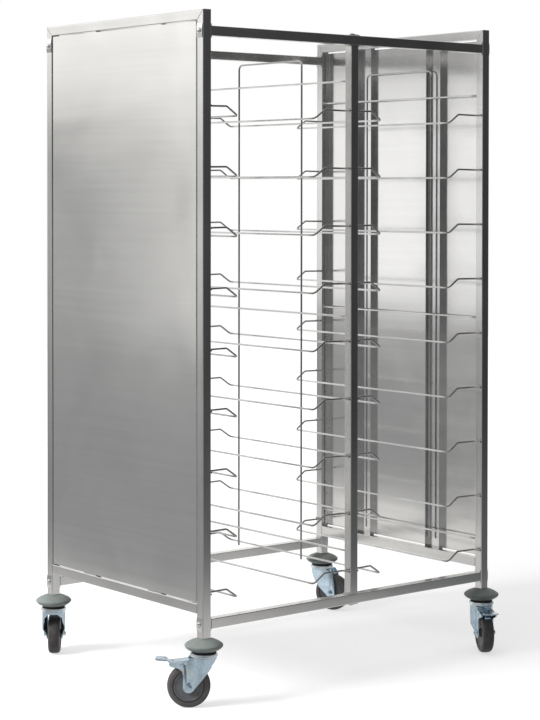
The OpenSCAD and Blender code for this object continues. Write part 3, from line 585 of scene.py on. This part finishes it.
def frame_bolts():
    """Domed bolts: a shank, a small flange and a dome, r = 7 cos b and h = 4.5 sin b."""
    b = np.linspace(0.16, math.pi / 2, 9)
    dome = np.stack([7.0 * np.cos(b), 0.1 + 4.4 * np.sin(b)], 1)
    shank = [(0, -bolt_len), (3.4, -bolt_len), (4, -bolt_len + 0.8), (4, 0), (6.7, 0), (7, 0.3)]
    profile = np.concatenate([shank, dome])
    profile[-1, 0] = 0
    places, ways = [], []
    for sy in (-1, 1):
        for z in (low_rail_z + tube / 2, top_rail_z + tube / 2):
            for sx in (-1, 1):
                places.append((sx * (cart_w / 2 + saddle_t), sy * post_y, z))
                ways.append((sx, 0, 0))
        for z, up in ((low_rail_z - saddle_t, -1), (top_rail_z + tube + saddle_t, 1)):
            places.append((0, sy * post_y, z))
            ways.append((0, 0, up))
    skin("domed_frame_bolts", turned(profile, places, ways, 32), bolt_steel, "bright_fastener",
         ["frame_bolts"])


weld_seams()
frame_bolts()


# ---- casters ----

corner_xy = np.array([(sx * post_x, sy * post_y) for sy in (-1, 1) for sx in (-1, 1)], float)


def on_stems(name, profile, z, material, slot, replaced, sides=64, sharp=38):
    """One turned shape on each caster's swivel axis, with its profile's height 0 at z."""
    centres = np.column_stack([corner_xy, np.full(4, z)])
    grids = turned(profile, centres, np.tile((0, 0, 1.0), (4, 1)), sides)
    height = np.broadcast_to(np.asarray(profile)[None, :, 1, None], grids.shape[:3]) * MM
    skin(name, grids, material, slot, replaced, closed=(True, True), sharp=sharp,
         numbers={"height": height})


dome = smooth_profile([(31, -12.9), (37.8, -10.2), (43.4, -6.3), (47.0, -2.4), (47.7, 0.2),
                       (46.8, 2.7), (42.8, 6.2), (36, 10.2), (28, 13.6), (19, 16.4),
                       (13.5, 17.7)], 5)
on_stems("bumper_discs", np.concatenate([[(6, -13), (30.4, -13)], dome, [(12.8, 18), (6, 18)]]),
         bumper_low + bumper_half, bumper_rubber, "bumper_rubber", ["caster_bumpers"], 72)
on_stems("dust_seals", [(6, 0), (29.2, 0), (30.2, 0.5), (30.5, 1.5), (30.1, 2.2), (29.4, 2.5),
                        (30.1, 2.9), (30.5, 3.6), (30.2, 4.6), (29.4, 5), (6, 5)],
         seal_low, seal_rubber, "seal_rubber", ["caster_seals"])
lip = rounded_corner((32, 8.5), (34, 8.5), (34, 6), 1.6, 5)
on_stems("swivel_head_cups", np.concatenate([
    [(6, 5), (6, 8.5), (24, 8.5), (26, 8.1), (28, 8.5)], lip,
    [(34, 4.6), (33.5, 4.0), (33.5, 3.4), (34, 2.8), (34, 0.6), (33.6, 0), (32.3, 0), (32, 0.4),
     (32, 5)]]), head_low, zinc_head, "zinc_plate", ["caster_heads"], sharp=30)

# Hub and tyre profiles: (radius, height along the axle), mirrored about the wheel's middle
half_hub = np.array([(6.05, 18.4), (10.2, 18.4), (11, 17.6), (11, 13.4), (12, 12.6), (13, 12.5),
                     (20, 12.7), (28, 13.0), (32, 13.3), (33.2, 14.1), (34.2, 14.5), (36.6, 14.5),
                     (37.3, 14.1), (37.8, 13.2), (38, 12)])
half_tyre = smooth_profile([(38, 13.4), (38.5, 14.7), (39.6, 15.6), (42.5, 15.95), (46.6, 15.6),
                            (49.8, 14.2), (51.9, 11.6), (52.9, 8.0), (53.35, 4), (53.5, 0.01)], 4)
for corner in CORNERS:
    spin = joints[corner + "_wheel_spin"]
    centre, axle = np.array(spin["pos_m"]) / MM, np.array(spin["axis"])
    for part, half, material in (("hub", half_hub, hub_nylon), ("tyre", half_tyre, tyre_rubber)):
        profile = np.concatenate([half, half[::-1] * (1, -1)])
        grids = turned(profile, [centre], [axle], 96)
        radius = np.broadcast_to(profile[None, :, 0, None], grids.shape[:3]) * MM
        skin(f"{corner}_wheel_{part}", grids, material, "wheel_" + part, [f"{corner}_{part}"],
             corner + "_wheel", (True, True), 32, {"radius": radius})


def softened(name, node, material, body, width):
    """A merged copy of a pressed or turned steel node with its edges rounded off."""
    mesh = nodes[node].data.copy()
    mesh.name = name
    close_up(mesh, math.radians(0.6))
    mesh.shade_smooth()
    piece = register(name, mesh, material, [node], body)
    bevel = piece.modifiers.new("rounded_edges", "BEVEL")
    bevel.width, bevel.segments, bevel.limit_method = width * MM, 2, "ANGLE"
    bevel.angle_limit, bevel.harden_normals = math.radians(20), True
    bevel.use_clamp_overlap = True


for corner in CORNERS:
    swivel = corner + "_swivel"
    softened(corner + "_pressed_fork", corner + "_fork", zinc, swivel, 0.5)
    softened(corner + "_axle_bolt", corner + "_axle", zinc, swivel, 0.35)
    if corner.startswith("front"):
        softened(corner + "_pressed_pedal", corner + "_brake_pedal", zinc,
                 corner + "_brake", 0.4)


# ---- finishes of the solids that stay ----

KEPT = {tube_z: ["left_front_post", "left_rear_post", "right_front_post", "right_rear_post",
                 "front_middle_post", "rear_middle_post"],
        tube_y: ["left_top_rail", "left_bottom_rail", "right_top_rail", "right_bottom_rail"],
        tube_x: ["front_top_rail", "front_bottom_rail", "rear_top_rail", "rear_bottom_rail"],
        fold_z: ["left_panel_channels", "right_panel_channels"],
        plate_steel: ["outer_saddle_plates", "inner_saddle_plates"],
        zinc: ["threaded_plugs", "caster_plugs", "caster_stems"],
        bolt_steel: ["caster_balls", "front_left_brake_pin", "front_right_brake_pin"]
        + [corner + "_sleeve" for corner in CORNERS]}
for material, names in KEPT.items():
    for name in names:
        for place in nodes[name].material_slots:
            place.material = material


# ---- floor, studio and camera ----

def stage_piece(name, points, material, glossy_only=False):
    """A sheet of the stage from a grid of points in metres."""
    rows, columns, _ = points.shape
    i, j = np.meshgrid(np.arange(rows - 1), np.arange(columns - 1), indexing="ij")
    first = (i * columns + j).ravel()
    mesh = bpy.data.meshes.new(name)
    mesh.from_pydata(points.reshape(-1, 3).tolist(), [], np.stack(
        [first, first + columns, first + columns + 1, first + 1], 1).tolist())
    mesh.materials.append(material)
    sheet = bpy.data.objects.new(name, mesh)
    bpy.context.scene.collection.objects.link(sheet)
    if glossy_only:
        sheet.visible_camera = sheet.visible_diffuse = sheet.visible_shadow = False
        sheet.visible_transmission = sheet.visible_volume_scatter = False


def glow(f, tone, colour=(1, 1, 1), beside=None):
    """Ends a stage material in light of a tone and a colour, with a diffuse sheet beside it."""
    f.tree.nodes.remove(f.shader)
    light = f.node("ShaderNodeEmission", None, {"Strength": tone, "Color":
                   colour if isinstance(colour, Shade) else (*colour, 1)})
    if beside:
        matt = f.node("ShaderNodeBsdfDiffuse", None, {"Color": (*beside, 1)})
        light = f.node("ShaderNodeAddShader", None, {0: matt, 1: light})
    f.tree.links.new(light.socket, f.tree.nodes["Material Output"].inputs["Surface"])
    return f.material


def seen_plainly(f):
    """1 for what the camera sees, directly, in gloss or through glass."""
    kinds = ("Is Camera Ray", "Is Glossy Ray", "Is Transmission Ray")
    camera, gloss, through = (f.node("ShaderNodeLightPath", output=kind) for kind in kinds)
    return camera.sum("MAXIMUM", camera.sum("MAXIMUM", camera, gloss), through)


def floor_finish():
    """Pale floor: half diffuse, which holds the shadow, and a plain white for what is seen,
    which rises with the distance as the lamps' light falls."""
    f = Finish("floor_pale")
    reach = (f.axis("X") ** 2 + f.axis("Y") ** 2) ** 0.5
    return glow(f, seen_plainly(f) * (0.62 + reach.ramp(1.2, 4.5) * 0.33), beside=(0.5, 0.5, 0.5))


def studio_finish():
    """What gloss sees of the studio, by heading in degrees, reach and height in metres: a white
    backdrop behind the cart, a tall window at the left, dark walls, and a floor that is pale
    by the cart and darker further away."""
    f = Finish("studio_tones")
    x, y, z = (f.axis(letter) for letter in "XYZ")
    heading = f.node("ShaderNodeMath", {"operation": "ARCTAN2"}, {0: y, 1: x}) * 57.2958
    reach = (x ** 2 + y ** 2) ** 0.5

    def sector(low, low_full, high_full, high):
        return heading.ramp(low, low_full) * ~heading.ramp(high_full, high)

    def towards(tone, other, amount):
        return tone + (other - tone) * amount

    far = 0.32 - sector(-80, -68, -28, -12) * 0.2
    ground = towards(far, 0.68, ~reach.ramp(0.75, 1.6))
    ground = towards(ground, 0.92, y.ramp(0.5, 1.0) * x.ramp(-1.4, -0.7))
    near = heading.ramp(128, 131.5)
    window = towards(0.4 + near * 0.48, 1.08, z.ramp(1.45, 2.1))
    wall = 0.3 - sector(160, 171, 172, 185) * 0.14 - sector(-135, -131, -112, -100) * 0.24 \
        - sector(-110, -98, -82, -74) * 0.17
    wall = towards(wall, window, sector(100, 120, 138, 147))
    wall = towards(wall, 2.0, z.ramp(2.4, 3.1) * sector(48, 62, 160, 172))
    tone = towards(ground, wall, z.ramp(0.02 + near * 0.08, 0.5 - near * 0.15))
    tone = towards(tone, 1.0, sector(12, 24, 80, 92))
    tone = towards(tone, 0.8, z.ramp(4.2, 5.4))
    return glow(f, tone, f.mix(tone.ramp(0.05, 0.6), (0.93, 0.97, 1.0), (1.0, 0.992, 0.975)))


SCREEN_WAY = (0.755, 0.656)


def dark_screen_finish():
    """The dark screen at the front right: it pales towards its rear end and its foot."""
    f = Finish("dark_screen_tones")
    along = f.axis("X") * SCREEN_WAY[0] + f.axis("Y") * SCREEN_WAY[1]
    tone = 0.065 - along.ramp(-0.9, 0.2) * 0.03 + along.ramp(0.4, 0.8) * 0.3 \
        + ~f.axis("Z").ramp(0.02, 0.4) * 0.06
    return glow(f, tone, (0.96, 0.98, 1.0))


def white_card_finish():
    """The white card at the rear left: a dark bar near its top, a soft lower edge."""
    f = Finish("white_card_tones")
    z = f.axis("Z")
    tone = 0.35 + z.ramp(0.72, 0.92) * 0.77 - z.ramp(1.46, 1.62) * 0.22
    return glow(f, tone - z.ramp(1.71, 1.75) * ~z.ramp(1.82, 1.88) * 0.68)


u = np.linspace(-9, 9, 3)
stage_piece("floor", np.stack(np.broadcast_arrays(u[:, None], u[None, :], 0 * u[:, None]), -1),
            floor_finish())
turn = np.linspace(-math.pi, math.pi, 97)[None, :]
profile = np.array([(0, 0.004), (0.7, 0.004), (1.6, 0.004), (3, 0.004), (5, 0.004), (8, 0.004),
                    (8, 0.5), (8, 1.5), (8, 3), (8, 4.5), (7, 5.6), (4, 6.4), (0, 6.6)])
stage_piece("studio_shell", np.stack(np.broadcast_arrays(
    profile[:, :1] * np.cos(turn), profile[:, :1] * np.sin(turn), profile[:, 1:]), -1),
    studio_finish(), glossy_only=True)
s = np.linspace(-1.9, 0.85, 23)[None, :]
h = np.linspace(0.01, 4.3, 16)[:, None]
stage_piece("dark_screen", np.stack(np.broadcast_arrays(
    1.45 + SCREEN_WAY[0] * s, -1.95 + SCREEN_WAY[1] * s, h), -1), dark_screen_finish(),
    glossy_only=True)

y = np.linspace(0.62, 1.75, 9)[None, :]
h = np.linspace(0.72, 2.2, 9)[:, None]
stage_piece("white_card", np.stack(np.broadcast_arrays(-0.6, y, h), -1), white_card_finish(),
            glossy_only=True)

world = bpy.data.worlds.new("studio")
bpy.context.scene.world = world
world.use_nodes = True
sky, links = world.node_tree.nodes, world.node_tree.links
ray, seen, also, level = (sky.new("ShaderNodeLightPath"), sky.new("ShaderNodeMath"),
                          sky.new("ShaderNodeMath"), sky.new("ShaderNodeMapRange"))
seen.operation = also.operation = "MAXIMUM"
links.new(ray.outputs["Is Camera Ray"], seen.inputs[0])
links.new(ray.outputs["Is Glossy Ray"], seen.inputs[1])
links.new(seen.outputs[0], also.inputs[0])
links.new(ray.outputs["Is Transmission Ray"], also.inputs[1])
links.new(also.outputs[0], level.inputs["Value"])
level.inputs["To Min"].default_value = 0.3
links.new(level.outputs[0], sky["Background"].inputs["Strength"])
sky["Background"].inputs["Color"].default_value = (1, 1, 1, 1)


def lamp(name, place, target, size, power):
    """A square soft box at a place, turned to a target; gloss sees the studio instead."""
    data = bpy.data.lights.new(name, "AREA")
    data.size, data.energy = size, power
    box = bpy.data.objects.new(name, data)
    bpy.context.scene.collection.objects.link(box)
    box.location = place
    box.rotation_euler = (Vector(target) - Vector(place)).to_track_quat("-Z", "Y").to_euler()
    box.visible_glossy = False


lamp("key_soft_box", (-4.4, 0.6, 2.9), (0, 0, 0.5), 1.8, 330)
lamp("top_soft_box", (-0.6, 0.2, 5.0), (0, 0, 0.6), 3.0, 60)

# The camera, from the frame's corners in the photo: lens and horizon in pixels of its frame
frame_high, lens_px, horizon_row, film = 720, 1944.33, 229.25, 36
camera = bpy.data.cameras.new("camera")
camera.sensor_width = film
camera.lens = lens_px / frame_high * film
camera.shift_y = (horizon_row - frame_high / 2) / frame_high
eye = bpy.data.objects.new("camera", camera)
bpy.context.scene.collection.objects.link(eye)
eye.location = (-3.3651, -4.1221, 1.2659)
eye.rotation_euler = [math.radians(a) for a in (88.892, -0.0646, -39.236)]
bpy.context.scene.camera = eye
bpy.context.scene.view_settings.view_transform = "Standard"
